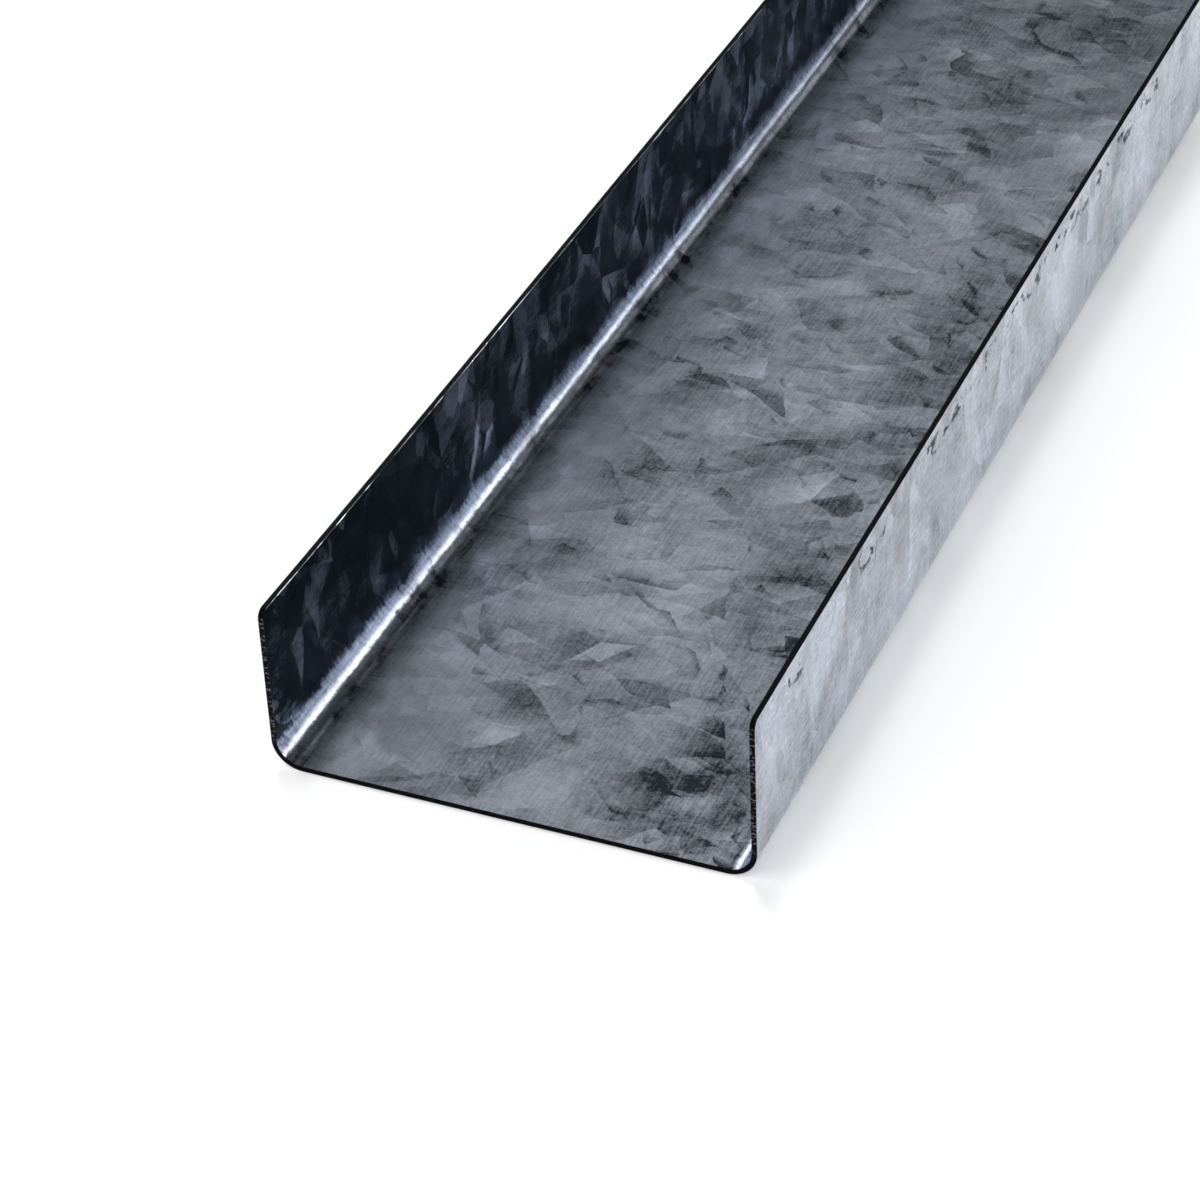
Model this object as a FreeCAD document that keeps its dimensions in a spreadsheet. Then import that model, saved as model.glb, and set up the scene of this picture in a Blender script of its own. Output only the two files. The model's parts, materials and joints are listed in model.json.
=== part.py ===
"""Drywall track: one length of U-shaped channel, roll-formed from galvanised sheet steel.

The web lies on the floor and both legs point up. The section is in the XZ plane and the channel
runs along Y. The origin is on the floor, midway along the channel and midway between the legs.
Lengths are in millimetres and angles in degrees.
"""

import FreeCAD, Part
import Sketcher
import math
import os

NODE = "track"
START = 1
END = 2
CENTRE = 3
ORIGIN_AND_X_AXIS = -1
Z_AXIS = -2

# Driving dimensions: the value, and what it is on the real channel
DRIVING_DIMENSIONS = {
    "web_inside": (101.6, "clear width between the legs at the web, 4 in, to take a 4 in stud"),
    "leg_height": (38.1, "overall height of a leg, 1-1/2 in"),
    "sheet_thickness": (1.15, "43 mil galvanised sheet"),
    "bend_radius": (6.35, "outside radius of the two bends, 1/4 in"),
    "toe_in": (0.8, "how far each leg leans in past square, so that it grips the stud"),
    "corner_radius": (2.0, "eased corners at the ends of the legs"),
    "stock_length": (3048.0, "10 ft length as sold"),
}


def make_sheet(doc):
    """The spreadsheet that every size is bound to, one aliased cell for each driving dimension."""
    sheet = doc.addObject("Spreadsheet::Sheet", "dimensions")
    for row, (name, (value, meaning)) in enumerate(DRIVING_DIMENSIONS.items(), start=1):
        sheet.set(f"A{row}", name)
        sheet.set(f"B{row}", str(value))
        sheet.set(f"C{row}", meaning)
        sheet.setAlias(f"B{row}", name)
    doc.recompute()
    return sheet


def origin_plane(body, role):
    """One of the body's own origin planes, found by its role."""
    return next(plane for plane in body.Origin.OriginFeatures if plane.Role == role)


def half_section(sheet, side):
    """One bend and its leg, outside and inside, as four curves and the cut edge between them.

    side is 1 for the leg at +X and -1 for the leg at -X. The curves run up the outside of the leg,
    over its cut edge and down the inside.
    """
    outside = sheet.bend_radius
    inside = outside - sheet.sheet_thickness
    lean = math.radians(sheet.toe_in)
    centre_x = side * (sheet.web_inside / 2 + sheet.sheet_thickness - outside)
    centre = FreeCAD.Vector(centre_x, outside, 0)
    outward = FreeCAD.Vector(side * math.cos(lean), math.sin(lean), 0)
    upward = FreeCAD.Vector(-side * math.sin(lean), math.cos(lean), 0)
    foot_outside = centre + outward * outside
    leg_length = (sheet.leg_height - foot_outside.y) / upward.y
    top_outside = foot_outside + upward * leg_length
    foot_inside = centre + outward * inside
    top_inside = top_outside - outward * sheet.sheet_thickness
    if side > 0:
        bend_angles = (-math.pi / 2, lean)
    else:
        bend_angles = (math.pi - lean, 3 * math.pi / 2)
    normal = FreeCAD.Vector(0, 0, 1)
    return [
        Part.ArcOfCircle(Part.Circle(centre, normal, outside), *bend_angles),
        Part.LineSegment(foot_outside, top_outside),
        Part.LineSegment(top_outside, top_inside),
        Part.LineSegment(top_inside, foot_inside),
        Part.ArcOfCircle(Part.Circle(centre, normal, inside), *bend_angles),
    ]


def web_line(sheet, height):
    """The straight part of the web's section, from the left bend to the right one."""
    reach = sheet.web_inside / 2 + sheet.sheet_thickness - sheet.bend_radius
    return Part.LineSegment(FreeCAD.Vector(-reach, height, 0), FreeCAD.Vector(reach, height, 0))


def constrain_half(sketch, curves, web_under, web_top, side):
    """Keeps one bend smooth into the web and the leg, with one centre and a square cut edge."""
    outer_bend, outer_leg, cut_edge, inner_leg, inner_bend = curves
    web_end, bend_at_web, bend_at_leg = (END, START, END) if side > 0 else (START, END, START)
    for rule in (
        ("Tangent", web_under, web_end, outer_bend, bend_at_web),
        ("Tangent", outer_bend, bend_at_leg, outer_leg, START),
        ("Coincident", outer_leg, END, cut_edge, START),
        ("Coincident", cut_edge, END, inner_leg, START),
        ("Tangent", inner_leg, END, inner_bend, bend_at_leg),
        ("Tangent", inner_bend, bend_at_web, web_top, web_end),
        ("Coincident", inner_bend, CENTRE, outer_bend, CENTRE),
        ("Parallel", inner_leg, outer_leg),
        ("Perpendicular", cut_edge, outer_leg),
    ):
        sketch.addConstraint(Sketcher.Constraint(*rule))


def drive(sketch, name, expression, *rule):
    """Adds a named dimension to the sketch and binds it to the spreadsheet."""
    index = sketch.addConstraint(Sketcher.Constraint(*rule))
    sketch.renameConstraint(index, name)
    sketch.setExpression(f"Constraints.{name}", expression)


def draw_section(body, sheet):
    """The rolled section: the web, the two bends and the two legs, one sheet thickness all round."""
    sketch = body.newObject("Sketcher::SketchObject", "section")
    sketch.AttachmentSupport = [(origin_plane(body, "XZ_Plane"), "")]
    sketch.MapMode = "FlatFace"
    web_under = sketch.addGeometry(web_line(sheet, 0.0), False)
    web_top = sketch.addGeometry(web_line(sheet, sheet.sheet_thickness), False)
    right = [sketch.addGeometry(curve, False) for curve in half_section(sheet, 1)]
    left = [sketch.addGeometry(curve, False) for curve in half_section(sheet, -1)]
    constrain_half(sketch, right, web_under, web_top, 1)
    constrain_half(sketch, left, web_under, web_top, -1)

    right_bend, right_leg = right[0], right[1]
    left_bend, left_leg = left[0], left[1]
    for rule in (
        ("PointOnObject", web_under, START, ORIGIN_AND_X_AXIS),
        ("Parallel", web_top, web_under),
        ("Symmetric", web_under, START, web_under, END, Z_AXIS),
        ("Symmetric", left_leg, END, right_leg, END, Z_AXIS),
        ("Equal", left_bend, right_bend),
    ):
        sketch.addConstraint(Sketcher.Constraint(*rule))

    outside = sheet.bend_radius
    between_bends = sheet.web_inside + 2 * (sheet.sheet_thickness - outside)
    drive(sketch, "bend_radius", "dimensions.bend_radius", "Radius", right_bend, outside)
    drive(
        sketch,
        "between_bends",
        "dimensions.web_inside + 2 * (dimensions.sheet_thickness - dimensions.bend_radius)",
        "DistanceX", left_bend, CENTRE, right_bend, CENTRE, between_bends,
    )
    drive(
        sketch,
        "sheet_thickness",
        "dimensions.sheet_thickness",
        "DistanceY", web_under, END, web_top, END, sheet.sheet_thickness,
    )
    drive(
        sketch,
        "leg_height",
        "dimensions.leg_height",
        "DistanceY", ORIGIN_AND_X_AXIS, START, right_leg, END, sheet.leg_height,
    )
    drive(
        sketch,
        "leg_angle",
        "90 + dimensions.toe_in",
        "Angle", right_leg, math.radians(90 + sheet.toe_in),
    )
    return sketch


def corner_edges(solid, sheet):
    """The names of the four short edges where a leg's cut edge meets an end of the channel."""
    end_y = sheet.stock_length / 2
    lowest_z = sheet.leg_height - sheet.sheet_thickness
    names = []
    for number, edge in enumerate(solid.Edges, start=1):
        middle = edge.CenterOfMass
        if math.isclose(abs(middle.y), end_y) and middle.z > lowest_z:
            names.append(f"Edge{number}")
    return names


def make_track(doc, sheet):
    """The section run out to the stock length, with the leg corners eased."""
    body = doc.addObject("PartDesign::Body", NODE)
    body.Label = NODE
    body.Placement = FreeCAD.Placement()
    section = draw_section(body, sheet)
    doc.recompute()

    rolled = body.newObject("PartDesign::Pad", "rolled_channel")
    rolled.Profile = section
    rolled.SideType = "Symmetric"
    rolled.setExpression("Length", "dimensions.stock_length")
    doc.recompute()

    eased = body.newObject("PartDesign::Fillet", "eased_corners")
    eased.Base = (rolled, corner_edges(rolled.Shape, sheet))
    eased.setExpression("Radius", "dimensions.corner_radius")
    body.Tip = eased
    doc.recompute()
    return body


def check(doc, body):
    """Stops before anything is written if a step of the model failed."""
    for item in doc.Objects:
        if "Invalid" in item.State or "Error" in item.State:
            raise RuntimeError(f"{item.Label} failed: {item.State}")
    section = doc.getObject("section")
    if not section.FullyConstrained:
        raise RuntimeError("the section can still move: a dimension is missing")
    shape = body.Shape
    if shape.isNull() or not shape.isValid() or len(shape.Solids) != 1:
        raise RuntimeError(f"{body.Label} is not one sound solid")
    return shape


def main():
    doc = FreeCAD.newDocument("drywall_track")
    sheet = make_sheet(doc)
    track = make_track(doc, sheet)
    shape = check(doc, track)
    box = shape.BoundBox
    os.makedirs("parts", exist_ok=True)
    shape.exportStep(f"parts/{track.Label}.step")
    print(f"{track.Label}: {box.XLength:.2f} x {box.YLength:.2f} x {box.ZLength:.2f} mm")
    print(f"volume {shape.Volume / 1000:.1f} cm3, faces {len(shape.Faces)}")


main()
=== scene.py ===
# %% [markdown]
# A drywall track, roll formed from galvanised strip
#
# The real thing is one long U of thin steel. A mill dips the strip in molten zinc, slits it, and feeds it
# through pairs of rollers that fold up two legs. So this lesson has one piece and two finishes: the zinc,
# which freezes into crystals that makers call spangle, and the bare steel where the strip was cut.
#
# Everything is in metres, apart from the zinc, which is worked out in millimetres on the flat strip. The
# frame holds the CAD model, which fixes the sizes, and this file only makes it look like the real stock.

# %% Load the frame and keep the CAD box
import json
import math

import bmesh
import bpy
from mathutils import Matrix, Vector


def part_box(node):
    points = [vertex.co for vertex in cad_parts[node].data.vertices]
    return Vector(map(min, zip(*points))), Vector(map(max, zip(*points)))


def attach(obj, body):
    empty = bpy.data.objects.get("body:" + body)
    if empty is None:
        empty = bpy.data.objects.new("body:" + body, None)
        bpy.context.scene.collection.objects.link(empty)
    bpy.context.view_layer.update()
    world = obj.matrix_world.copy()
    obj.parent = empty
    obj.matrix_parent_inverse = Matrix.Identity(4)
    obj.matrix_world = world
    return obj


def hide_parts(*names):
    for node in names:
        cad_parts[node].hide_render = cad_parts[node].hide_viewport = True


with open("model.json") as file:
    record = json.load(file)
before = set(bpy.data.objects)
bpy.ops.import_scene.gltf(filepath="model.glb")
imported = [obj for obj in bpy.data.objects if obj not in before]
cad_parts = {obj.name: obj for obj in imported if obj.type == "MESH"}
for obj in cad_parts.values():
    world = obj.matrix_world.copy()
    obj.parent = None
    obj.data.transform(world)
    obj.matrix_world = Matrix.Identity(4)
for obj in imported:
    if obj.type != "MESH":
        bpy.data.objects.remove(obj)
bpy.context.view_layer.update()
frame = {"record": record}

# %% [markdown]
# Sizes
#
# A sheet-metal part is known by a few numbers: how wide, how high, how thick, and how tight the bends are.
# They could be typed in again here, but two copies of a size soon disagree. So the box, the sheet's
# thickness and the lean of the legs are read from the frame, and only the radii are written out.

# %% Read the section's sizes
MM = 0.001

low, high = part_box("track")
width = high.x - low.x
leg_height = high.z - low.z
stock_length = high.y - low.y
half = stock_length / 2

mounts = {mount["name"]: mount for mount in frame["record"]["mounts"]}
sheet_thickness = mounts["web_inside"]["pos_m"][2]
toe_in = math.asin(mounts["leg_outside_right"]["axis"][2])

BEND_RADIUS = 6.35 * MM
CORNER_RADIUS = 2.0 * MM
inside_radius = BEND_RADIUS - sheet_thickness
bend_centre = width / 2 - BEND_RADIUS
print(f"sheet {sheet_thickness / MM:.2f} mm, legs lean in {math.degrees(toe_in):.2f} degrees")

# %% [markdown]
# Helpers for node trees
#
# Geometry Nodes and shaders are both graphs, and building a graph in Python repeats the same three moves:
# make a node, set its options, and plug something into its inputs. One helper does that. An input given as
# a socket is linked, and one given as a number, a colour or a text is typed into the socket.

# %% Make and link nodes
def add(tree, kind, inputs=None, **settings):
    """A new node with its settings made and its inputs linked or typed in."""
    node = tree.nodes.new(kind)
    for name, value in settings.items():
        setattr(node, name, value)
    for name, value in (inputs or {}).items():
        if isinstance(value, bpy.types.NodeSocket):
            tree.links.new(value, node.inputs[name])
        else:
            node.inputs[name].default_value = value
    return node


def calc(tree, operation, *values):
    """The output of a Math node, which works alike in shaders and in Geometry Nodes."""
    return add(tree, "ShaderNodeMath", dict(enumerate(values)), operation=operation).outputs[0]


def ramp(tree, value, start, end, to_start=0.0, to_end=1.0, smooth=True):
    """value between start and end, carried over to the range to_start to to_end and held outside it."""
    node = add(
        tree,
        "ShaderNodeMapRange",
        {"Value": value, "From Min": start, "From Max": end, "To Min": to_start, "To Max": to_end},
        interpolation_type="SMOOTHSTEP" if smooth else "LINEAR",
    )
    return node.outputs[0]


def combine(tree, **parts):
    """A vector put together from its X, Y and Z."""
    return add(tree, "ShaderNodeCombineXYZ", parts).outputs[0]


def separate(tree, vector):
    """The X, Y and Z of a vector."""
    return add(tree, "ShaderNodeSeparateXYZ", {"Vector": vector}).outputs


print("node helpers ready")

# %% [markdown]
# The section's corners
#
# Before the rollers touch it, the section is only a chain of straight runs that meet at corners, and the
# folding gives each corner a radius. The rounded outline could be worked out point by point. It is simpler
# to find where the straight runs meet, once for the inner face and once for the outer one.

# %% Find the corners and the leg tops
def corner_at(radius):
    """Where the web's line meets the leg's, for the face whose bend has this radius."""
    foot_x = bend_centre + radius * math.cos(toe_in)
    foot_z = BEND_RADIUS + radius * math.sin(toe_in)
    web_z = BEND_RADIUS - radius
    return Vector((foot_x + (foot_z - web_z) * math.tan(toe_in), web_z))


def leg_top(radius):
    """Where the leg's line ends at the top."""
    corner = corner_at(radius)
    return Vector((corner.x - (leg_height - corner.y) * math.tan(toe_in), leg_height))


print("outer corner at", [round(c / MM, 2) for c in corner_at(BEND_RADIUS)], "mm")

# %% [markdown]
# The outline of the section
#
# Each corner carries its radius as an attribute named fold, which the node tree rounds it by. The straight
# runs get a few points of their own as well, so that they can sway a little and shade flat right up to a
# bend. The inner face is drawn first and the outer one back again, which closes the outline.

# %% Draw the outline with sharp corners
RUN_STEP = 9.0 * MM
BEND_GUARD = 0.5 * MM


def straight_run(start, end, skip_start, skip_end):
    """Points along a straight run, clear of the bends at its ends."""
    length = (end - start).length
    free = length - skip_start - skip_end
    count = max(1, round(free / RUN_STEP))
    return [start.lerp(end, (skip_start + free * i / count) / length) for i in range(count + 1)]


def face_line(radius):
    """One face of the sheet from leg top to leg top, left to right: (x, z) and the fold at each point."""
    corner = corner_at(radius)
    left_corner = Vector((-corner.x, corner.y))
    reach = radius / math.tan(math.radians(45) - toe_in / 2) + BEND_GUARD
    leg = straight_run(leg_top(radius), corner, 0.0, reach)
    left_leg = [Vector((-point.x, point.y)) for point in leg]
    web = straight_run(left_corner, corner, reach, reach)
    points = left_leg + [left_corner] + web + [corner] + leg[::-1]
    folds = [0.0] * len(leg) + [radius] + [0.0] * len(web) + [radius] + [0.0] * len(leg)
    return list(zip(points, folds))


outline = face_line(inside_radius) + face_line(BEND_RADIUS)[::-1]
section = bpy.data.meshes.new("section")
# The sweep lays a profile's Y along -Z, so heights are drawn downwards.
section.from_pydata(
    [(point.x, -point.y, 0.0) for point, _ in outline],
    [(i, (i + 1) % len(outline)) for i in range(len(outline))],
    [],
)
section.attributes.new("fold", "FLOAT", "POINT").data.foreach_set("value", [f for _, f in outline])
print("section has", len(outline), "points")

# %% [markdown]
# A tree that rolls the strip
#
# A roll former pushes one section along one straight path, and a Geometry Nodes tree can do the same by
# rule. Its inputs are the sizes that a mill would set: the length, the leg, the bend, and how true the
# stock comes out. They are named here and given to the modifier later, so that another stock size is only
# other numbers.

# %% Name the tree's inputs
BEND_SEGMENTS = 14
STATION_STEP = 12.7 * MM

track_tree = bpy.data.node_groups.new("roll forming", "GeometryNodeTree")
rolling_inputs = {
    "Stock Length": stock_length,
    "Leg Height": leg_height,
    "Stations": round(stock_length / STATION_STEP) + 1,
    "Bend Segments": BEND_SEGMENTS,
    "Bend Radius": BEND_RADIUS,
    "Leg Sway": 0.35 * MM,
    "End Spring": 0.38 * MM,
    "Spring Reach": 45 * MM,
}
track_tree.interface.new_socket("Section", in_out="INPUT", socket_type="NodeSocketGeometry")
for name, value in rolling_inputs.items():
    kind = "NodeSocketInt" if isinstance(value, int) else "NodeSocketFloat"
    track_tree.interface.new_socket(name, in_out="INPUT", socket_type=kind)
for name in ("Zinc", "Cut Steel"):
    track_tree.interface.new_socket(name, in_out="INPUT", socket_type="NodeSocketMaterial")
track_tree.interface.new_socket("Track", in_out="OUTPUT", socket_type="NodeSocketGeometry")
given = track_tree.nodes.new("NodeGroupInput").outputs
print("rolling inputs:", ", ".join(rolling_inputs))

# %% [markdown]
# Folding and sweeping
#
# Fillet Curve does what the rollers do: it rounds each corner by its fold. Before the sweep, every point
# remembers how far round the outline it is, because that can't be measured afterwards. Then Curve to Mesh
# carries the section along a straight path in short steps, called stations, and closes both ends.

# %% Fold the section and sweep it
outline_curve = add(track_tree, "GeometryNodeMeshToCurve", {"Mesh": given["Section"]}).outputs[0]
fold = add(track_tree, "GeometryNodeInputNamedAttribute", {"Name": "fold"}, data_type="FLOAT")
folded = add(
    track_tree,
    "GeometryNodeFilletCurve",
    {"Curve": outline_curve, "Count": given["Bend Segments"], "Radius": fold.outputs["Attribute"]},
    mode="POLY",
).outputs[0]
round_outline = add(track_tree, "GeometryNodeSplineParameter").outputs["Length"]
measured = add(
    track_tree,
    "GeometryNodeStoreNamedAttribute",
    {"Geometry": folded, "Name": "across", "Value": round_outline},
    data_type="FLOAT",
    domain="POINT",
).outputs[0]

half_length = calc(track_tree, "MULTIPLY", given["Stock Length"], 0.5)
near_end = calc(track_tree, "MULTIPLY", half_length, -1.0)
path = add(
    track_tree,
    "GeometryNodeCurvePrimitiveLine",
    {"Start": combine(track_tree, Y=near_end), "End": combine(track_tree, Y=half_length)},
).outputs[0]
stations = add(
    track_tree, "GeometryNodeResampleCurve", {"Curve": path, "Count": given["Stations"]}
).outputs[0]
swept = add(
    track_tree,
    "GeometryNodeCurveToMesh",
    {"Curve": stations, "Profile Curve": measured, "Fill Caps": True},
).outputs[0]
print("the sweep has", rolling_inputs["Stations"], "stations")

# %% [markdown]
# The strip as it lay flat
#
# The zinc froze on a flat strip, and only then was the strip folded. So the finish needs the flat strip's
# own coordinates. The distance round the outline and the place along the length are just that, and they
# become a UV map named sheet. It is in metres and not squeezed into a unit square, so that sizes in it are
# real sizes.

# %% Store the flat map
point_at = separate(track_tree, add(track_tree, "GeometryNodeInputPosition").outputs[0])
across = add(track_tree, "GeometryNodeInputNamedAttribute", {"Name": "across"}, data_type="FLOAT")
flat_place = combine(track_tree, X=across.outputs["Attribute"], Y=point_at["Y"])
mapped = add(
    track_tree,
    "GeometryNodeStoreNamedAttribute",
    {"Geometry": swept, "Name": "sheet", "Value": flat_place},
    data_type="FLOAT2",
    domain="CORNER",
).outputs[0]
print("flat map stored as sheet")

# %% [markdown]
# Legs that aren't dead straight
#
# Thin legs wander by a fraction of a millimetre, and their reflections show it at once. A slow noise along
# the length leans each leg inwards, more at the top and not at all at the bend. Nothing holds the legs
# together at the near sawn end, so there they spring open a little instead, and the noise gives way to it.

# %% Sway the legs and spring the end
SWAYS_PER_METRE = 5.0

side = calc(track_tree, "SIGN", point_at["X"])
above_bend = calc(track_tree, "SUBTRACT", point_at["Z"], given["Bend Radius"])
free_leg = calc(track_tree, "SUBTRACT", given["Leg Height"], given["Bend Radius"])
height_share = calc(track_tree, "DIVIDE", above_bend, free_leg)
lift = calc(track_tree, "MAXIMUM", height_share, 0.0)
sway_place = combine(track_tree, X=side, Y=point_at["Y"])
sway_noise = add(
    track_tree,
    "ShaderNodeTexNoise",
    {"Vector": sway_place, "Scale": SWAYS_PER_METRE, "Detail": 1.0, "Roughness": 0.4},
    noise_dimensions="2D",
).outputs[0]
inwards = calc(track_tree, "MULTIPLY", given["Leg Sway"], -1.0)
sway = calc(track_tree, "MULTIPLY", sway_noise, inwards)
from_end = calc(track_tree, "SUBTRACT", near_end, point_at["Y"])
spring_share = calc(track_tree, "EXPONENT", calc(track_tree, "DIVIDE", from_end, given["Spring Reach"]))
spring = calc(track_tree, "MULTIPLY", spring_share, given["End Spring"])
held = calc(track_tree, "SUBTRACT", 1.0, spring_share)
leaning = calc(track_tree, "ADD", calc(track_tree, "MULTIPLY", sway, held), spring)
shift = calc(track_tree, "MULTIPLY", calc(track_tree, "MULTIPLY", leaning, lift), side)
swayed = add(
    track_tree, "GeometryNodeSetPosition", {"Geometry": mapped, "Offset": combine(track_tree, X=shift)}
).outputs[0]
print("the legs sway up to", rolling_inputs["Leg Sway"] / MM, "mm")

# %% [markdown]
# Cut faces and zinc faces
#
# Zinc covers the two broad faces of the sheet, and the slit edges and sawn ends are bare. The faces could
# be picked by hand, but a rule survives a change of size: an end faces along the length, and a slit edge
# faces up at the top of a leg. The tree ends by giving each kind its material.

# %% Give each face its finish
FACING = 0.9
NEAR_TOP = 0.9

normal = separate(track_tree, add(track_tree, "GeometryNodeInputNormal").outputs[0])
end_face = calc(track_tree, "GREATER_THAN", calc(track_tree, "ABSOLUTE", normal["Y"]), FACING)
facing_up = calc(track_tree, "GREATER_THAN", normal["Z"], FACING)
near_top = calc(track_tree, "GREATER_THAN", height_share, NEAR_TOP)
slit_face = calc(track_tree, "MULTIPLY", facing_up, near_top)
cut_face = calc(track_tree, "MAXIMUM", end_face, slit_face)

real = add(track_tree, "GeometryNodeRealizeInstances", {"Geometry": swayed}).outputs[0]
coated = add(
    track_tree, "GeometryNodeSetMaterial", {"Geometry": real, "Material": given["Zinc"]}
).outputs[0]
finished = add(
    track_tree,
    "GeometryNodeSetMaterial",
    {"Geometry": coated, "Selection": cut_face, "Material": given["Cut Steel"]},
).outputs[0]
add(track_tree, "NodeGroupOutput", {"Track": finished})
print("rolling tree has", len(track_tree.nodes), "nodes")

# %% [markdown]
# The zinc
#
# Molten zinc freezes in crystals as large as a fingertip. Each is a flat facet that leans its own way by a
# degree or two, so each mirrors a slightly different part of the room: that is all that spangle is. A
# picture of zinc could be laid on the strip, but nodes stay sharp at any distance. The material reads the
# flat map, so its pattern follows the strip round the bends as the real crystals do. Two noises bend that
# map a little before any crystal is drawn on it, because no crystal has straight sides.

# %% Start the zinc material
MIDDLE = (0.5, 0.5, 0.5)

zinc = bpy.data.materials.new("galvanised steel")
zinc.use_nodes = True
shade = zinc.node_tree
shade.nodes.clear()


def vector_calc(operation, *values):
    """The vector that a Vector Math node of the zinc gives."""
    return add(shade, "ShaderNodeVectorMath", dict(enumerate(values)), operation=operation).outputs[0]


def scaled(vector, factor):
    """A vector made longer or shorter."""
    return add(shade, "ShaderNodeVectorMath", {0: vector, "Scale": factor}, operation="SCALE").outputs[0]


place = scaled(add(shade, "ShaderNodeUVMap", uv_map="sheet").outputs[0], 1 / MM)
print("the flat map is read in millimetres")

# %% Bend the flat map
def laid(vector, wide, long, turn, shift):
    """Places counted in cells of this size in millimetres across and along the strip, turned and moved."""
    node = add(
        shade,
        "ShaderNodeMapping",
        {
            "Vector": vector,
            "Location": (shift, shift, 0.0),
            "Rotation": (0.0, 0.0, turn),
            "Scale": (wide, long, 1.0),
        },
        vector_type="TEXTURE",
    )
    return node.outputs[0]


def noise(size, detail, roughness=0.5, stretch=1.0, turn=0.0, shift=0.0, output="Fac"):
    """Noise with lumps of about this size in millimetres, drawn out along the strip by stretch."""
    at = laid(place, size, size * stretch, turn, shift)
    node = add(
        shade,
        "ShaderNodeTexNoise",
        {"Vector": at, "Scale": 1.0, "Detail": detail, "Roughness": roughness},
        noise_dimensions="2D",
    )
    return node.outputs[output]


def push(reach, size, detail):
    """A sideways push of up to reach millimetres, which changes slowly over size millimetres."""
    return scaled(vector_calc("SUBTRACT", noise(size, detail, output="Color"), MIDDLE), 2 * reach)


bowed = vector_calc("ADD", place, push(reach=4.0, size=24.0, detail=1.0))
ragged = vector_calc("ADD", bowed, push(reach=0.35, size=2.5, detail=2.0))
print("the flat map is bowed, and then made ragged")

# %% [markdown]
# Where on the section
#
# Some marks belong to one part of the section, and the flat map tells which. Its first number runs round
# the outline, down the inside of the left leg and up the right one, then back along the outside. So the
# distance from the middle of the web, whichever face it is on, is the lesser of two plain differences.
# Less the flat half of the web, it says how far past the web a point is, up a bend or a leg.

# %% Measure across the strip
def face_run(radius):
    """Length of one face from leg top to leg top, round both bends."""
    foot = bend_centre + radius * math.cos(toe_in)
    leg_run = (leg_top(radius) - Vector((foot, BEND_RADIUS + radius * math.sin(toe_in)))).length
    return 2 * (leg_run + radius * (math.pi / 2 + toe_in) + bend_centre) / MM


def from_line(value, line):
    """How far a value is from a line, on either side."""
    return calc(shade, "ABSOLUTE", calc(shade, "SUBTRACT", value, line))


inside_run = face_run(inside_radius)
outside_run = face_run(BEND_RADIUS)
outside_start = inside_run + sheet_thickness / MM
strip_place = separate(shade, place)
round_strip = strip_place["X"]
from_inner_middle = from_line(round_strip, inside_run / 2)
from_outer_middle = from_line(round_strip, outside_start + outside_run / 2)
from_middle = calc(shade, "MINIMUM", from_inner_middle, from_outer_middle)
web_half = bend_centre / MM
past_web = calc(shade, "SUBTRACT", from_middle, web_half)
print(f"inside face {inside_run:.1f} mm across, outside face {outside_run:.1f} mm")

# %% Tell the bends, the legs and the faces apart
BEND_BLEND = 1.0
BEND_FADE = 4.0


def both(one, other):
    """Where two shares meet."""
    return calc(shade, "MULTIPLY", one, other)


def lacking(share):
    """The rest of a share."""
    return calc(shade, "SUBTRACT", 1.0, share)


bend_reach = BEND_RADIUS * math.pi / 2 / MM
bend_starts = ramp(shade, past_web, -BEND_BLEND, BEND_BLEND)
bend_ends = ramp(shade, past_web, bend_reach + BEND_BLEND, bend_reach - BEND_FADE)
bend = both(bend_starts, bend_ends)
on_outside = ramp(shade, round_strip, inside_run, outside_start, smooth=False)
on_inside = lacking(on_outside)
inside_leg = both(lacking(bend_ends), on_inside)
print(f"a bend is {bend_reach:.1f} mm round")

# %% [markdown]
# Facets
#
# One Voronoi texture gives plain cells, which look like cracked mud. Three of them, of different sizes,
# drawn out and turned different ways, cut one another into the shards that zinc shows. Every cell has a
# random colour and a heart. The colour less one half is a vector, which serves as the way that the facet
# leans. Measured along it from the heart, a facet also runs from light to dark, so that its edge is crisp
# on one side and fades away on the other.

# %% Draw the facets
FACETS = {
    "large": {"size": 15.0, "stretch": 1.5, "turn": 0.5, "shift": 523.0},
    "middle": {"size": 9.0, "stretch": 1.7, "turn": -0.3, "shift": 311.0},
    "small": {"size": 5.5, "stretch": 1.9, "turn": 0.2, "shift": 97.0},
}
MID_TONE = 0.5
LEAN_TONE = 0.15
FALL_TONE = 0.16


def crystal_cells(size, stretch, turn, shift):
    """Each cell's random colour, and the way to a point from the heart of its cell."""
    at = laid(ragged, size * stretch, size, turn, shift)
    cells = add(
        shade,
        "ShaderNodeTexVoronoi",
        {"Vector": at, "Scale": 1.0},
        voronoi_dimensions="2D",
        feature="F1",
    ).outputs
    return cells["Color"], vector_calc("SUBTRACT", at, cells["Position"])


def reach_along(vector, way):
    """How far a vector reaches along a way."""
    node = add(shade, "ShaderNodeVectorMath", {0: vector, 1: way}, operation="DOT_PRODUCT")
    return node.outputs["Value"]


lean = (0.0, 0.0, 0.0)
fall = 0.0
for sizes in FACETS.values():
    colour, from_heart = crystal_cells(**sizes)
    own_lean = vector_calc("SUBTRACT", colour, MIDDLE)
    lean = vector_calc("ADD", lean, own_lean)
    fall = calc(shade, "ADD", fall, reach_along(from_heart, own_lean))
leans = separate(shade, lean)
tone = calc(shade, "MULTIPLY_ADD", fall, FALL_TONE, MID_TONE)
tone = calc(shade, "MULTIPLY_ADD", leans["X"], LEAN_TONE, tone)
print("facet layers:", ", ".join(FACETS))

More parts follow.
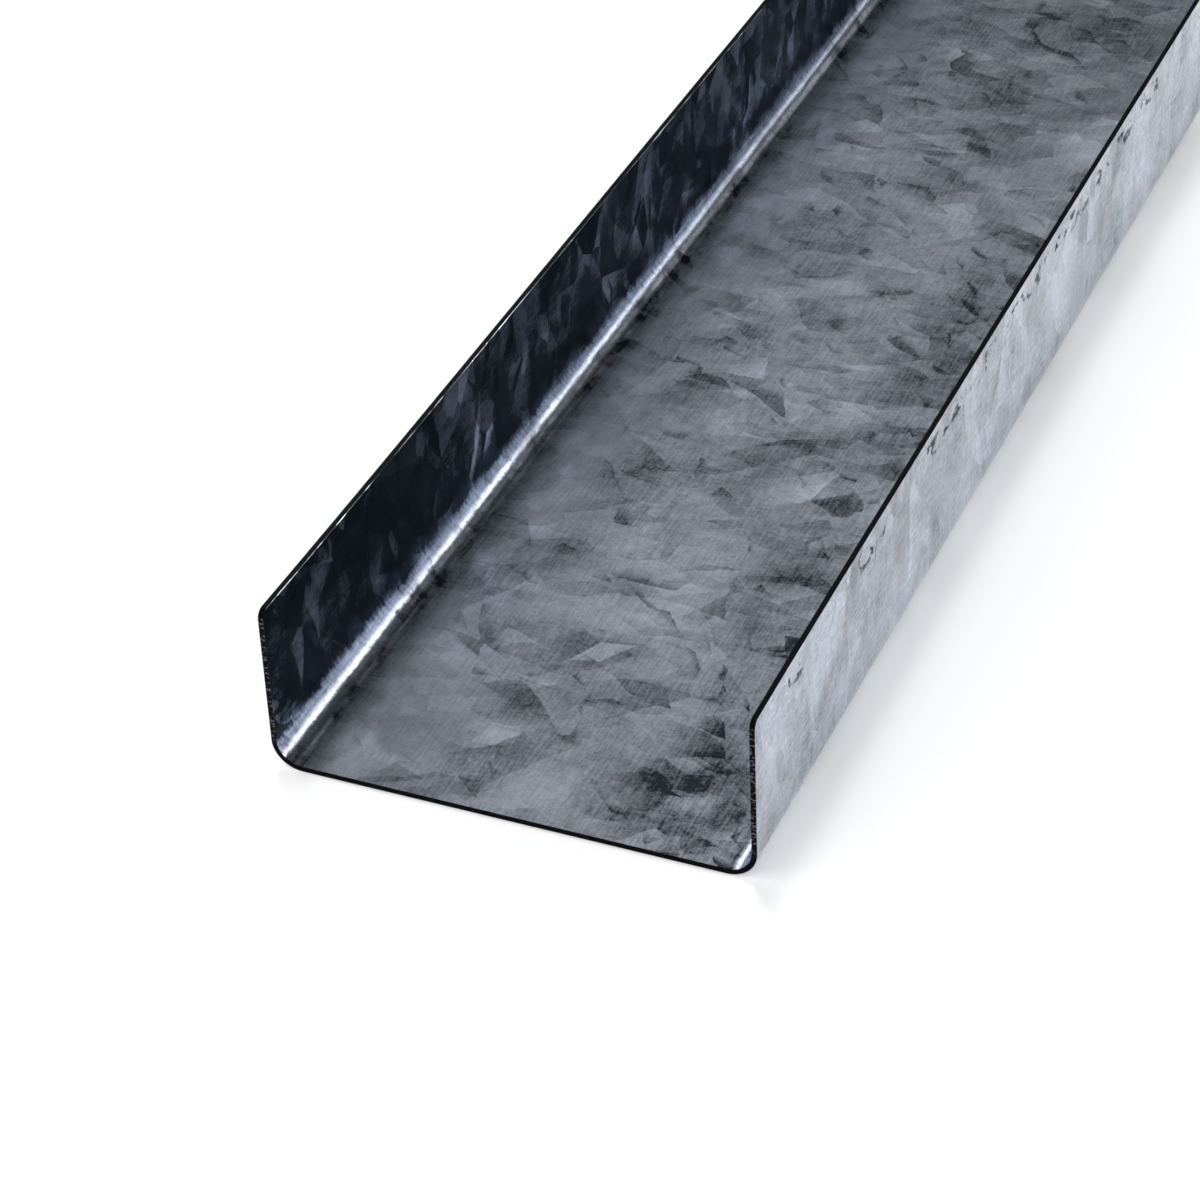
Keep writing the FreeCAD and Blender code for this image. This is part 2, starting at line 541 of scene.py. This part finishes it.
# %% [markdown]
# Wedges of shade
#
# Where two crystals meet, the last metal to freeze shrinks, and the lower one keeps a dark wedge: crisp at
# the facet's edge and soon gone towards its heart. Lines along all the Voronoi edges would look like a
# net. So only a share of the cells get a wedge, each on a side of its own, picked by the cell's random
# colour. Where wedges cross, the deepest one counts, because a sum would burn black holes.

# %% Draw the wedges
WEDGES = {
    "broad": {"size": 12.0, "stretch": 2.0, "turn": -0.6, "shift": 241.0, "share": 0.45},
    "slim": {"size": 7.5, "stretch": 2.3, "turn": -0.2, "shift": 733.0, "share": 0.45},
    "short": {"size": 5.0, "stretch": 2.0, "turn": -0.9, "shift": 157.0, "share": 0.4},
}
WEDGE_REACH = 0.6
WEDGE_CRISPNESS = 3.0
PICK_BLEND = 0.15
SHALLOW = -0.20
DEEP = -0.58
DARKEST_FACET = 0.18
DARKEST_BLEND = 0.1


def wedges(share, **sizes):
    """Shade on one side of a share of the facets, from nothing at the heart to 1 at the edge."""
    colour, from_heart = crystal_cells(**sizes)
    flat_colour = vector_calc("MULTIPLY", vector_calc("SUBTRACT", colour, MIDDLE), (1.0, 1.0, 0.0))
    own_way = vector_calc("NORMALIZE", flat_colour)
    shaded = ramp(shade, reach_along(from_heart, own_way), 0.0, WEDGE_REACH)
    picked = ramp(shade, separate(shade, colour)["Z"], 1.0 - share, 1.0 + PICK_BLEND - share)
    return both(calc(shade, "POWER", shaded, WEDGE_CRISPNESS), picked)


deepest = 0.0
for sizes in WEDGES.values():
    deepest = calc(shade, "MAXIMUM", deepest, wedges(**sizes))
depth_noise = noise(size=28.0, detail=2.0)
wedge_depth = ramp(shade, depth_noise, start=0.35, end=0.65, to_start=SHALLOW, to_end=DEEP)
tone = calc(shade, "MULTIPLY_ADD", deepest, wedge_depth, tone)
tone = calc(shade, "SMOOTH_MAX", tone, DARKEST_FACET, DARKEST_BLEND)
print("wedge layers:", ", ".join(WEDGES))

# %% [markdown]
# Scuffs in the bend
#
# The rollers slide in the inner bend and leave it brushed, with short strokes that run up on to the leg. A
# band of constant width would look like tape. So a stroke-shaped noise pushes the band's upper border to
# and fro, which feathers it and leaves the middle of the band alone. Near a sawn end the strokes reach
# further and the band is wider. The band is later lightened, which is brushed zinc and partly a painted
# highlight, so the painted highlight is broadest near the ends.

# %% Brush the bends
END_NEARNESS_FULL = 40.0
END_NEARNESS_FADES = 150.0
STROKE_REACH = 13.0
CALM_STROKE_REACH = 4.0
CALM_NARROWING = 2.0


def between(share, at_none, at_full):
    """A value that goes evenly from one number to another as a share goes from 0 to 1."""
    return ramp(shade, share, 0.0, 1.0, at_none, at_full, smooth=False)


bend_strokes = calc(shade, "SUBTRACT", noise(size=6.5, detail=3.0, stretch=0.15, turn=0.5), 0.5)
from_cut = calc(shade, "SUBTRACT", half / MM, calc(shade, "ABSOLUTE", strip_place["Y"]))
# 1 near a sawn end: more painted shade on the legs and the web's right side, and a wider painted
#                    highlight.
end_nearness = ramp(shade, from_cut, END_NEARNESS_FADES, END_NEARNESS_FULL)
stroke_reach = between(end_nearness, CALM_STROKE_REACH, STROKE_REACH)
feathered = calc(shade, "MULTIPLY_ADD", bend_strokes, stroke_reach, past_web)
feathered = calc(shade, "ADD", feathered, between(end_nearness, CALM_NARROWING, 0.0))
scuff_starts = ramp(shade, past_web, start=4.0, end=5.6)
scuff_ends = ramp(shade, feathered, start=10.5, end=4.6)
# The scuffed band is brushed zinc, and the tone it adds later is partly a painted highlight.
scuffed = both(scuff_starts, scuff_ends)
print("the strokes reach", STROKE_REACH, "mm near a cut and", CALM_STROKE_REACH, "mm elsewhere")

# %% [markdown]
# Light and dark parts of the section
#
# The finish isn't even across the section, and most of these bands paint light and shade into it. The legs
# get painted shade inside, more near a sawn end and at the foot of a leg. A broken line of painted shade
# runs along the foot of each bend. The web gets patches of painted light beside the left bend and a little
# painted shade on its right side, and the inner rim of each leg has a painted glint. The scuffed band in
# the bend is lightened too, which is brushed zinc and partly a painted highlight. Each of these could be
# painted by hand, but a band across the strip fits any length. One helper lays a band.

# %% Lay the bands
def band(value, starts, full, fades, ends):
    """1 where the value is between full and fades, and down to 0 at starts and at ends."""
    return both(ramp(shade, value, starts, full), ramp(shade, value, ends, fades))


past_foot = calc(shade, "SUBTRACT", round_strip, inside_run / 2 - web_half)
below_rim = calc(shade, "SUBTRACT", inside_run / 2, from_inner_middle)
# Band for painted shade at the foot of each leg, inside.
leg_foot = band(past_web, starts=6.5, full=9.0, fades=11.0, ends=17.0)
# Band for a broken line of painted shade along the foot of each bend.
painted_foot_shade = band(past_web, starts=-0.8, full=0.3, fades=1.4, ends=2.6)
# Band for patches of painted light on the web beside the left bend.
painted_light_band = band(past_foot, starts=1.0, full=4.0, fades=6.0, ends=20.0)
# Band for painted shade on the web's right side.
right_side = band(past_foot, starts=55.0, full=75.0, fades=90.0, ends=100.0)
# Band for a painted glint along the inner rim of each leg.
rim = both(ramp(shade, below_rim, start=0.42, end=0.08), on_inside)
foot_noise = noise(size=5.0, detail=2.0, stretch=2.0)
foot_patches = ramp(shade, foot_noise, start=0.3, end=0.7, to_start=0.4, to_end=1.4)
foot_gaps = ramp(shade, foot_noise, start=0.35, end=0.55, to_start=1.0, to_end=0.3)
print("bands laid across", round(inside_run + outside_run), "mm of strip")

# %% Shade the parts
# Most of these parts paint shade or light into the tone; each is noted where its band is laid.
PARTS = {
    "leg": (inside_leg, -0.37),
    "leg, painted darker near an end": (both(inside_leg, end_nearness), -0.11),
    "foot of the leg": (both(inside_leg, leg_foot), -0.16),
    "scuff and painted highlight": (scuffed, 0.27),
    "painted_light_band": (both(painted_light_band, foot_patches), 0.24),
    "foot line": (both(painted_foot_shade, foot_gaps), -0.32),
    "right side": (right_side, -0.06),
    "right side, painted darker near an end": (both(right_side, end_nearness), -0.09),
    "rim": (rim, 0.2),
}
level = MID_TONE
for part, part_shade in PARTS.values():
    level = calc(shade, "MULTIPLY_ADD", part, part_shade, level)
print("shaded parts:", ", ".join(PARTS))

# %% [markdown]
# How strong the spangle is
#
# Spangle shows most on the dark inside of the legs, less on the web, and least on the outside. Brushing
# wears it away. One strength for all would be wrong somewhere, so the facets' tone is stretched or calmed
# about its middle before it is added to the level of its part.

# %% Set the contrast of the spangle
LEG_CONTRAST = 1.8
WEB_CONTRAST = 1.0
OUTSIDE_CONTRAST = 0.5
SCUFF_CALM = -0.9

inside_contrast = between(bend_ends, LEG_CONTRAST, WEB_CONTRAST)
inside_contrast = calc(shade, "MULTIPLY_ADD", scuffed, SCUFF_CALM, inside_contrast)
contrast = add(
    shade,
    "ShaderNodeMix",
    {"Factor": on_outside, 2: inside_contrast, 3: OUTSIDE_CONTRAST},
    data_type="FLOAT",
).outputs[0]
tone = calc(shade, "MULTIPLY_ADD", calc(shade, "SUBTRACT", tone, MID_TONE), contrast, level)
print("zinc so far has", len(shade.nodes), "nodes")

# %% [markdown]
# Streaks, grain, frost and cloud
#
# The mill's rollers draw faint streaks along the strip, the coating has a fine grain, and frosty and
# cloudy patches drift over it. One noise with much detail would look the same everywhere. Four plain ones,
# each of its own size and mapped to a small swing about nothing, add up to a skin where none stands out.

# %% Add the fine layers
def swing(value, spread, depth):
    """A noise carried over to a swing of up to depth about nothing."""
    return ramp(shade, value, 0.5 - spread, 0.5 + spread, -depth, depth, smooth=False)


streaks = swing(noise(size=0.6, detail=2.0, stretch=14.0), spread=0.2, depth=0.08)
grain = swing(noise(size=0.8, detail=3.0, roughness=0.75), spread=0.25, depth=0.13)
frost = swing(noise(size=3.0, detail=3.0, roughness=0.6, stretch=0.7), spread=0.2, depth=0.07)
cloud = swing(noise(size=30.0, detail=2.0, shift=1242.0), spread=0.2, depth=0.12)
for layer in (streaks, grain, frost, cloud):
    tone = calc(shade, "ADD", tone, layer)
print("with its fine layers, zinc has", len(shade.nodes), "nodes")

# %% [markdown]
# Nicks
#
# Tracks are shipped nested in bundles, and each one's rim rubs the outside of the next, just below the top
# of a leg. Marks could be set one by one along three metres. Instead the flat map says how far below the
# top a point is, a noise that is cut off high leaves a row of separate marks there, and a slower noise
# keeps them to a few places.

# %% Rub nicks into the legs
NICK_SHADE = -0.75

below_top = calc(shade, "SUBTRACT", outside_run / 2, from_outer_middle)
rubbed = band(below_top, starts=1.5, full=2.6, fades=4.5, ends=7.5)
nick_noise = noise(size=3.2, detail=3.0, roughness=0.7, stretch=1.5)
nick_marks = ramp(shade, nick_noise, start=0.56, end=0.60)
nick_places = ramp(shade, noise(size=26.0, detail=1.0), start=0.45, end=0.53)
nicks = both(both(rubbed, nick_marks), nick_places)
tone = calc(shade, "MULTIPLY_ADD", nicks, NICK_SHADE, tone)
print("with its nicks, zinc has", len(shade.nodes), "nodes")

# %% [markdown]
# The colour and the dullness of zinc
#
# Zinc is a cool grey, and a dark facet is one that mirrors less. So the tone picks a colour between a dark
# and a light zinc, and some crystals are a trace greener and others a trace redder. A light facet is also
# a little smoother than a dark one. The web is duller than the bends, which the rollers polish, and
# brushing dulls the scuffs.

# %% Colour the zinc and dull it
ZINC_DARK = (0.03, 0.035, 0.045, 1.0)
ZINC_LIGHT = (0.75, 0.82, 0.945, 1.0)
GREENISH = (0.98, 1.004, 1.0, 1.0)
PURPLISH = (1.018, 0.995, 1.003, 1.0)
DARK_DULL = 0.25
LIGHT_DULL = 0.20
WEB_DULL = 0.11
SCUFF_DULL = 0.22


def mixed(tree, factor, one, other):
    """A colour between two."""
    return add(tree, "ShaderNodeMix", {"Factor": factor, 6: one, 7: other}, data_type="RGBA").outputs[2]


crystal_pick = calc(shade, "ADD", leans["Z"], 0.5)
crystal_tint = mixed(shade, crystal_pick, GREENISH, PURPLISH)
zinc_colour = vector_calc("MULTIPLY", mixed(shade, tone, ZINC_DARK, ZINC_LIGHT), crystal_tint)
pressed = ramp(shade, past_web, start=0.5, end=4.5)
dullness = ramp(shade, tone, 0.3, 0.7, to_start=DARK_DULL, to_end=LIGHT_DULL, smooth=False)
dullness = calc(shade, "ADD", dullness, between(pressed, WEB_DULL, 0.0))
dullness = calc(shade, "MULTIPLY_ADD", scuffed, SCUFF_DULL, dullness)
print("the web is", WEB_DULL, "duller than the bends")

# %% [markdown]
# The lean of the facets
#
# A facet that leans mirrors another part of the room. Real relief would need millions of faces, so the
# lean goes to a Normal Map node as if it came from a picture: red and green are the lean across and along
# the strip. The strokes in the bend lean too, and so does the rim, where slitting rolls the sheet's edge
# over. The grain is a bump on top.

# %% Lean the facets
WEB_LEAN = 0.010
LEG_LEAN = 0.05
STROKE_LEAN = 0.04
RIM_LEAN = 0.40
GRAIN_STRENGTH = 0.2
GRAIN_DEPTH = 0.05 * MM
UPRIGHT = 0.5

facet_lean = between(bend_ends, LEG_LEAN, WEB_LEAN)
rim_way = calc(shade, "SIGN", calc(shade, "SUBTRACT", round_strip, inside_run / 2))
across_lean = calc(shade, "MULTIPLY_ADD", leans["Y"], facet_lean, UPRIGHT)
across_lean = calc(shade, "MULTIPLY_ADD", both(bend_strokes, bend), STROKE_LEAN, across_lean)
across_lean = calc(shade, "MULTIPLY_ADD", both(rim, rim_way), RIM_LEAN, across_lean)
along_lean = calc(shade, "MULTIPLY_ADD", leans["Z"], facet_lean, UPRIGHT)
facet_normal = add(
    shade,
    "ShaderNodeNormalMap",
    {"Color": combine(shade, X=across_lean, Y=along_lean, Z=1.0), "Strength": 1.0},
    space="TANGENT",
    uv_map="sheet",
).outputs[0]
relief = add(
    shade,
    "ShaderNodeBump",
    {"Height": grain, "Strength": GRAIN_STRENGTH, "Distance": GRAIN_DEPTH, "Normal": facet_normal},
).outputs[0]
print("facets lean", round(LEG_LEAN / WEB_LEAN), "times as much on the legs as on the web")

# %% [markdown]
# Zinc seen edge on
#
# Every metal mirrors nearly all the light at a grazing angle, and the Principled shader lets a tint lower
# that. A duller zinc would lose its spangle as well, so the tint is the better way. Inside the channel the
# tint paints shade, holding the grazing shine back; on the nicks it stands for their wear. The outside
# keeps all of it.

# %% Finish the zinc
EDGE_TINT = (0.58, 0.62, 0.67, 1.0)
FULL_TINT = (1.0, 1.0, 1.0, 1.0)

# The lower grazing tint inside the channel is painted shade; on the nicks it stands for wear.
full_shine = calc(shade, "SUBTRACT", on_outside, nicks)
zinc_shader = add(
    shade,
    "ShaderNodeBsdfPrincipled",
    {
        "Base Color": zinc_colour,
        "Metallic": 1.0,
        "Roughness": dullness,
        "Specular Tint": mixed(shade, full_shine, EDGE_TINT, FULL_TINT),
        "Normal": relief,
    },
).outputs[0]
add(shade, "ShaderNodeOutputMaterial", {"Surface": zinc_shader})
print("zinc has", len(shade.nodes), "nodes")

# %% [markdown]
# The cut edges
#
# Slitting and sawing leave bare steel, which has no zinc to mirror the room and soon goes nearly black. On
# the sawn ends of the legs the blade chatters and leaves short lighter ticks. The zinc's flat map is
# squeezed to a line on a cut face, so this finish reads Object coordinates instead.

# %% Make the cut steel material
CUT_DARK = (0.002, 0.002, 0.003, 1.0)
CUT_LIGHT = (0.08, 0.08, 0.09, 1.0)
END_DEPTH = 0.1 * MM
TICKS_START = 5 * MM
TICKS_FULL = 9 * MM
TICKS_PER_METRE = (0.8 / MM, 0.8 / MM, 1.8 / MM)

cut_steel = bpy.data.materials.new("cut steel edge")
cut_steel.use_nodes = True
edge = cut_steel.node_tree
edge.nodes.clear()
edge_place = add(edge, "ShaderNodeTexCoord").outputs["Object"]
edge_part = separate(edge, edge_place)
at_end = calc(edge, "GREATER_THAN", calc(edge, "ABSOLUTE", edge_part["Y"]), half - END_DEPTH)
in_leg = calc(edge, "MULTIPLY", at_end, ramp(edge, edge_part["Z"], TICKS_START, TICKS_FULL))
tick_place = add(edge, "ShaderNodeMapping", {"Vector": edge_place, "Scale": TICKS_PER_METRE}).outputs[0]
tick_noise = add(
    edge, "ShaderNodeTexNoise", {"Vector": tick_place, "Scale": 1.0, "Detail": 2.0, "Roughness": 0.6}
).outputs[0]
chatter = calc(edge, "MULTIPLY", ramp(edge, tick_noise, start=0.52, end=0.62), in_leg)
edge_colour = mixed(edge, chatter, CUT_DARK, CUT_LIGHT)
edge_shader = add(
    edge,
    "ShaderNodeBsdfPrincipled",
    {"Base Color": edge_colour, "Metallic": 0.0, "Roughness": 0.7, "Specular IOR Level": 0.03},
).outputs[0]
add(edge, "ShaderNodeOutputMaterial", {"Surface": edge_shader})
print("cut steel has", len(edge.nodes), "nodes")

# %% [markdown]
# From tree to mesh
#
# Now the strip goes through the rolls. The modifier could stay live, but a plain mesh can be exported and
# given a finishing cut. The tree's inputs are set by their identifiers before anything is evaluated,
# because a modifier that was evaluated once doesn't notice a later change by itself. It then goes with the
# object that held it.

# %% Roll the track
rolled = bpy.data.objects.new("rolled", section)
bpy.context.scene.collection.objects.link(rolled)
rolling = rolled.modifiers.new("roll forming", "NODES")
rolling.node_group = track_tree
mill_settings = {**rolling_inputs, "Zinc": zinc, "Cut Steel": cut_steel}
for item in track_tree.interface.items_tree:
    if item.in_out == "INPUT" and item.name in mill_settings:
        rolling[item.identifier] = mill_settings[item.name]
evaluated = rolled.evaluated_get(bpy.context.evaluated_depsgraph_get())
track_mesh = bpy.data.meshes.new_from_object(evaluated)
track_mesh.name = "track_strip"
bpy.data.objects.remove(rolled)
print("rolled mesh has", len(track_mesh.polygons), "faces")

# %% [markdown]
# Corners and edges
#
# The top corners of the legs are nipped round so that they don't snag, and every cut edge gets a hair's
# breadth of rounding, because no real edge is perfectly sharp. A Bevel modifier could do both by weights.
# Two bevels in bmesh are easier to follow: each has its own width, and the faces that it makes are known,
# so they can be given the bare steel.

# %% Nip the corners and ease the edges
EDGE_EASE = 0.06 * MM
EASE_STEPS = 2
CORNER_STEPS = 6
SHARP_EDGE = math.radians(50)

shape = bmesh.new()
shape.from_mesh(track_mesh)
cut_slot = track_mesh.materials.find(cut_steel.name)


def is_leg_corner(line):
    """True for an edge that runs through the sheet at the top corner of a leg."""
    ends = [v.co for v in line.verts]
    at_corner = all(abs(abs(p.y) - half) < EDGE_EASE and p.z > leg_height - EDGE_EASE for p in ends)
    return at_corner and line.calc_length() > 0.5 * sheet_thickness


def round_off(lines, reach, steps):
    """Bevels these edges and gives the new faces the cut steel."""
    made = bmesh.ops.bevel(
        shape, geom=lines, offset=reach, segments=steps, profile=0.5, affect="EDGES", clamp_overlap=False
    )
    for face in made["faces"]:
        face.material_index = cut_slot


leg_corners = [e for e in shape.edges if is_leg_corner(e)]
round_off(leg_corners, CORNER_RADIUS, CORNER_STEPS)
sharp = [e for e in shape.edges if len(e.link_faces) == 2 and e.calc_face_angle() > SHARP_EDGE]
print("corners nipped:", len(leg_corners), "edges eased:", len(sharp))
round_off(sharp, EDGE_EASE, EASE_STEPS)
for face in shape.faces:
    face.smooth = True
print("the track has", len(shape.faces), "faces")

# %% [markdown]
# A map to paint the finish on
#
# Other programs can't run these nodes, so for them the finish has to be painted into a square picture,
# through a UV map named OFBake. Blender could unwrap the piece by itself, but a strip this long would
# shrink to a thin line. The unrolled strip is nine times as long as its two faces are wide together. Cut
# in three and stacked like planks, it fills the square, and a thin row on top is left for the cut faces.

# %% Find each face's place on the map
ROWS = 3
ROW_HIGH = 0.32
ROW_GAP = 0.004
SPARE_ROW = 0.965
SPARE_HIGH = 0.034
END_WIDE = 0.1
NEAR_END_LEFT = 0.01
FAR_END_LEFT = 0.12
SLIT_LEFT = 0.25
SLIT_RIGHT = 0.99
SLIT_DEPTH = 3 * sheet_thickness

sheet_spots = shape.loops.layers.uv["sheet"]
bake_spots = shape.loops.layers.uv.new("OFBake")
row_length = stock_length / ROWS
round_length = (outside_start + outside_run) * MM + sheet_thickness


def zinc_spot(loop, row):
    """A place on the strip, in the row that its face belongs to."""
    across_strip, along_strip = loop[sheet_spots].uv
    share = row + 1 - (along_strip + half) / row_length
    return share, row * ROW_HIGH + across_strip / round_length * (ROW_HIGH - ROW_GAP)


def end_spot(point):
    """A place on a sawn end, the near one on the left and the far one beside it."""
    left = FAR_END_LEFT if point.y > 0 else NEAR_END_LEFT
    return left + (point.x / width + 0.5) * END_WIDE, SPARE_ROW + SPARE_HIGH * point.z / leg_height


def slit_spot(point):
    """A place on a slit or eased edge, along the rest of the top row."""
    share = (point.y / stock_length + 0.5) * (SLIT_RIGHT - SLIT_LEFT) + SLIT_LEFT
    depth = min(max((abs(point.x) - width / 2) / SLIT_DEPTH + 1, 0.0), 1.0)
    return share, SPARE_ROW + SPARE_HIGH * depth


print(f"a picture 1000 pixels wide has {1 / row_length:.2f} pixels to a millimetre")

# %% Stack the strip in rows
FACING_ALONG = 0.7

for face in shape.faces:
    row = min(int((face.calc_center_median().y + half) / row_length), ROWS - 1)
    for loop in face.loops:
        if face.material_index != cut_slot:
            loop[bake_spots].uv = zinc_spot(loop, row)
        elif abs(face.normal.y) > FACING_ALONG:
            loop[bake_spots].uv = end_spot(loop.vert.co)
        else:
            loop[bake_spots].uv = slit_spot(loop.vert.co)
print("the strip is stacked in", ROWS, "rows")

# %% [markdown]
# On to the frame
#
# The track is smooth apart from its real edges. Those could be marked one by one, but their angle tells
# them apart: the bends turn in small steps and shade round, and the corners stay crisp. Then the piece is
# told which body it rides on, and the CAD solid that it stands in for is hidden.

# %% Put the track on the frame
CRISP_EDGE = math.radians(18)

shape.to_mesh(track_mesh)
shape.free()
track_mesh.set_sharp_from_angle(angle=CRISP_EDGE)
track = bpy.data.objects.new("track_strip", track_mesh)
bpy.context.scene.collection.objects.link(track)
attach(track, "root")
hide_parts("track")
print("materials:", ", ".join(m.name for m in track_mesh.materials))

# %% [markdown]
# The floor
#
# The stock lies on a plain white floor, which catches a soft shadow and which the outside of the legs
# mirrors. A small table would end in those mirrors, so it is one very large square with a matt paint, a
# hair below the track so that the two never fight for the same pixels.

# %% Lay the floor
FLOOR_SIZE = 80.0
FLOOR_DROP = 0.2 * MM
FLOOR_WHITE = (0.95, 0.95, 0.95, 1.0)
FLOOR_DULL = 0.9

floor_mesh = bpy.data.meshes.new("floor")
span = FLOOR_SIZE / 2
floor_mesh.from_pydata(
    [(x, y, -FLOOR_DROP) for x, y in ((-span, -span), (span, -span), (span, span), (-span, span))],
    [],
    [(0, 1, 2, 3)],
)
floor = bpy.data.objects.new("floor", floor_mesh)
bpy.context.scene.collection.objects.link(floor)
floor_paint = bpy.data.materials.new("floor paint")
floor_paint.use_nodes = True
paint = floor_paint.node_tree.nodes["Principled BSDF"]
paint.inputs["Base Color"].default_value = FLOOR_WHITE
paint.inputs["Roughness"].default_value = FLOOR_DULL
paint.inputs["Specular IOR Level"].default_value = 0.0
floor_mesh.materials.append(floor_paint)
print("floor", FLOOR_SIZE, "m wide")

# %% [markdown]
# The light panels
#
# Bare metal has hardly any colour of its own: it shows the room. So the room is laid out on purpose, as a
# photographer lays out panels round a table. Lamps at a real distance would light one end of a piece three
# metres long and leave the other dark. Panels painted on the world are endlessly far away, so they light
# all of it alike.
#
# The grey card, behind on the left, is what the web mirrors, and the keys above it are the light that the
# dull zinc spreads. The rims, low on either side, make the bright lines in the two bends. The inside of
# the left leg mirrors the web, and by way of it the back card. The broad fills in front and on the right
# keep the floor white. The rest of the room is dark, which is what makes metal look like metal.

# %% Choose the panels
# Azimuth is from +Y towards +X, and the half sizes are angles too, all in degrees.
PANELS = {
    "key": {"azimuth": -12, "elevation": 50, "half_wide": 10, "half_high": 8, "light": 2.0},
    "high key": {"azimuth": -30, "elevation": 70, "half_wide": 15, "half_high": 8, "light": 21.0},
    "grey card": {"azimuth": -22, "elevation": 31, "half_wide": 10, "half_high": 7, "light": 0.60},
    "rim": {"azimuth": 49, "elevation": 13, "half_wide": 9, "half_high": 13, "light": 11.0},
    "back card": {"azimuth": 18, "elevation": 27, "half_wide": 9, "half_high": 8, "light": 0.85},
    "left rim": {"azimuth": -46, "elevation": 11, "half_wide": 10, "half_high": 9, "light": 26.0},
    "front fill": {"azimuth": 180, "elevation": 40, "half_wide": 80, "half_high": 28, "light": 2.4},
    "right fill": {"azimuth": 105, "elevation": 40, "half_wide": 30, "half_high": 9, "light": 1.6},
}
print("panels:", ", ".join(PANELS))

# %% [markdown]
# The room on the world
#
# For every ray that leaves the scene, the world works out which way it looks and adds up the panels there,
# each with soft borders. A white wall behind the track would light it as well. So only the camera sees
# white: a Light Path node tells its rays from those that light the metal.

# %% Paint the panels on the world
SOFT_EDGE = 0.15
WHITE = (1.0, 1.0, 1.0, 1.0)

room = bpy.data.worlds.new("studio")
room.use_nodes = True
air = room.node_tree
air.nodes.clear()
look = separate(air, add(air, "ShaderNodeTexCoord").outputs["Generated"])
look_azimuth = calc(air, "ARCTAN2", look["X"], look["Y"])
look_elevation = calc(air, "ARCSINE", look["Z"])


def panel(so_far, azimuth, elevation, half_wide, half_high, light):
    """The light so far with that of one more soft-edged panel, wherever the ray looks."""
    aside = calc(air, "COSINE", calc(air, "SUBTRACT", look_azimuth, math.radians(azimuth)))
    above = calc(air, "ABSOLUTE", calc(air, "SUBTRACT", look_elevation, math.radians(elevation)))
    borders = (1 + SOFT_EDGE, 1 - SOFT_EDGE)
    wide = ramp(air, aside, *(math.cos(math.radians(half_wide * border)) for border in borders))
    tall = ramp(air, above, *(math.radians(half_high * border) for border in borders), to_end=light)
    return calc(air, "MULTIPLY_ADD", wide, tall, so_far)


room_light = 0.0
for own_shape in PANELS.values():
    room_light = panel(room_light, **own_shape)
lit_room = add(air, "ShaderNodeBackground", {"Strength": room_light}).outputs[0]
backdrop = add(air, "ShaderNodeBackground", {"Color": WHITE, "Strength": 1.0}).outputs[0]
seen = add(air, "ShaderNodeLightPath").outputs["Is Camera Ray"]
sky = add(air, "ShaderNodeMixShader", {"Fac": seen, 1: lit_room, 2: backdrop}).outputs[0]
add(air, "ShaderNodeOutputWorld", {"Surface": sky})
bpy.context.scene.world = room
bpy.context.scene.view_settings.view_transform = "Standard"
print("the world has", len(air.nodes), "nodes")

# %% [markdown]
# The camera
#
# The photographer stood at the near end and to its right, looking down along the stock with a long lens.
# The camera is placed by a direction and a distance from a point in the channel, and turned a little about
# its own line of sight, which is easier to reason about than a rotation.

# %% Place the camera
AZIMUTH = math.radians(24.435)
ELEVATION = math.radians(35.83)
ROLL = math.radians(-2.698)
DISTANCE = 0.77264
AIM = Vector((-0.01214, -half + 0.07435, 0.0))
LENS = 109.08
SENSOR = 36.0

camera_data = bpy.data.cameras.new("camera")
camera_data.sensor_width = SENSOR
camera_data.lens = LENS
camera_data.clip_start = 0.01
camera_data.clip_end = 200.0
camera = bpy.data.objects.new("camera", camera_data)
bpy.context.scene.collection.objects.link(camera)
back = Vector((
    math.sin(AZIMUTH) * math.cos(ELEVATION),
    -math.cos(AZIMUTH) * math.cos(ELEVATION),
    math.sin(ELEVATION),
))
level_right = Vector((0, 0, 1)).cross(back).normalized()
level_up = back.cross(level_right)
right = level_right * math.cos(ROLL) + level_up * math.sin(ROLL)
upright = back.cross(right)
turn_to = Matrix((right, upright, back)).transposed().to_4x4()
camera.matrix_world = Matrix.Translation(AIM + back * DISTANCE) @ turn_to
bpy.context.scene.camera = camera
print("camera at", [round(c, 3) for c in camera.location])
